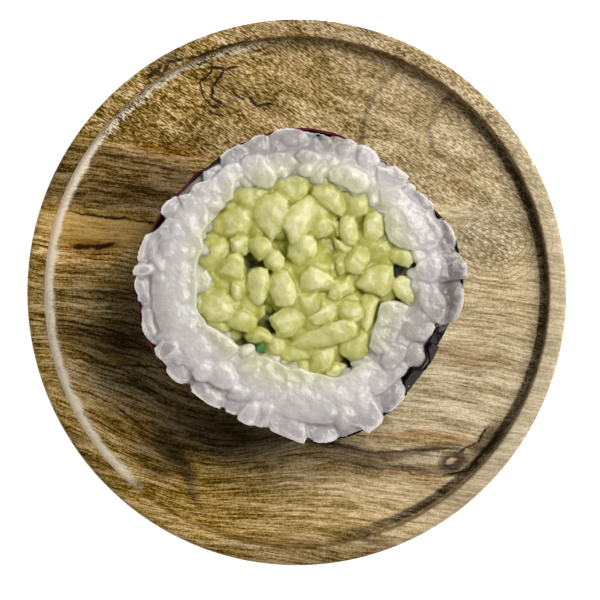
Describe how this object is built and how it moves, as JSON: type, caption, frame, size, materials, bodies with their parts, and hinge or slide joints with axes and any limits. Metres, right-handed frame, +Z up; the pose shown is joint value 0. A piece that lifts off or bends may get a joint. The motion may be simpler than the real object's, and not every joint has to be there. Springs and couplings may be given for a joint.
{
  "type": "cucumber maki roll in a small wooden dish",
  "caption": "Thick cucumber maki roll standing on its cut end in a small round wooden dish, with seaweed round rice round a pale green core.",
  "frame": {"origin": "middle of the dish's flat underside, at the height of the surface it stands on", "axes": "+Z up, along the roll from one cut end to the other; +X along the wood's grain; +Y across the grain"},
  "size_m": [0.08, 0.081, 0.0322],
  "materials": {
    "wood": "satin",
    "seaweed": "satin",
    "rice": "satin",
    "cucumber": "satin"
  },
  "bodies": {
    "root": {"board": "wood", "nori": "seaweed", "rice": "rice", "cucumber": "cucumber"}
  },
  "joints": []
}
